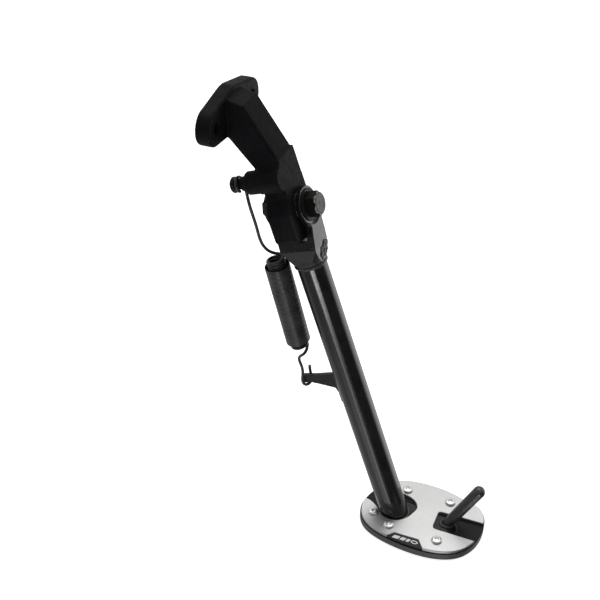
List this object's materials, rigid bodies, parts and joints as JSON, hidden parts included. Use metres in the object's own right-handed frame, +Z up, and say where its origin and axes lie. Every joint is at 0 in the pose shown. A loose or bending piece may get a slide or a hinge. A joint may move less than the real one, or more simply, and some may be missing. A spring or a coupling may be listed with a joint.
{
  "type": "motorcycle side stand",
  "caption": "Folding side stand: forked tubular leg on a bolted bracket, sleeved extension spring, and a wide brushed foot plate with a kick peg.",
  "frame": {"origin": "midway between the two frame bolts, on the bracket's mounting face", "axes": "+X forward along the vehicle, +Y outward to the rider's left, +Z up with the stand down"},
  "size_m": [0.088, 0.2338, 0.3922],
  "materials": {
    "black_casting": "satin black paint on a casting",
    "bronze": "plain bronze",
    "plain_steel": "zinc plated",
    "dark_steel": "dark phosphated",
    "oiled_steel": "dark, oiled",
    "grey_forging": "semi-gloss dark grey paint on a forging",
    "gloss_black_paint": "gloss black paint",
    "weld_black": "painted weld bead",
    "satin_black_paint": "satin black paint",
    "black_anodised": "matte black anodised",
    "brushed_aluminium": "brushed with a bright chamfer",
    "black_moulding": "matte",
    "white_print": "plain white",
    "stainless": "bright stainless",
    "spring_wire": "black coated spring steel",
    "black_rubber": "semi-gloss ribbed rubber"
  },
  "bodies": {
    "bracket": {"mounting_bracket": "black_casting", "pivot_bush": "bronze", "thrust_washers": "plain_steel", "spring_anchor_pin": "dark_steel"},
    "leg": {"leg_fork": "grey_forging", "leg_tube": "gloss_black_paint", "fork_weld": "weld_black", "spring_tab": "satin_black_paint", "tab_welds": "weld_black", "pivot_bolt": "dark_steel", "pivot_nut": "dark_steel", "head_washer": "oiled_steel", "nut_washer": "plain_steel", "stamped_foot": "satin_black_paint", "foot_weld": "weld_black", "kick_peg": "gloss_black_paint", "peg_weld": "weld_black", "base_plate": "black_anodised", "top_plate": "brushed_aluminium", "badge_inlay": "black_moulding", "badge_mark": "white_print", "plate_screws": "stainless", "insert_nuts": "plain_steel"},
    "spring_top": {"spring_upper": "spring_wire", "spring_sleeve": "black_rubber"},
    "spring_tail": {"spring_lower": "spring_wire"}
  },
  "joints": [
    {"name": "leg_fold", "type": "hinge", "parent": "bracket", "child": "leg", "pos_m": [0, 0.056, -0.07], "axis": [0, 0.9489, 0.3156], "range_deg": [0, 92]},
    {"name": "spring_swing", "type": "hinge", "parent": "bracket", "child": "spring_top", "pos_m": [0.016, 0.01996, -0.05037], "axis": [0, 0.9489, 0.3156], "range_deg": [-0.5, 77.6]},
    {"name": "spring_hook_turn", "type": "hinge", "parent": "leg", "child": "spring_tail", "pos_m": [0, 0.06889, -0.23707], "axis": [0, 0.9489, 0.3156], "range_deg": [-15.4, 0.5]}
  ],
  "couplings": [
    {"joint": "spring_swing", "follows": "leg_fold", "ratio": 0.838},
    {"joint": "spring_hook_turn", "follows": "leg_fold", "ratio": -0.162}
  ]
}
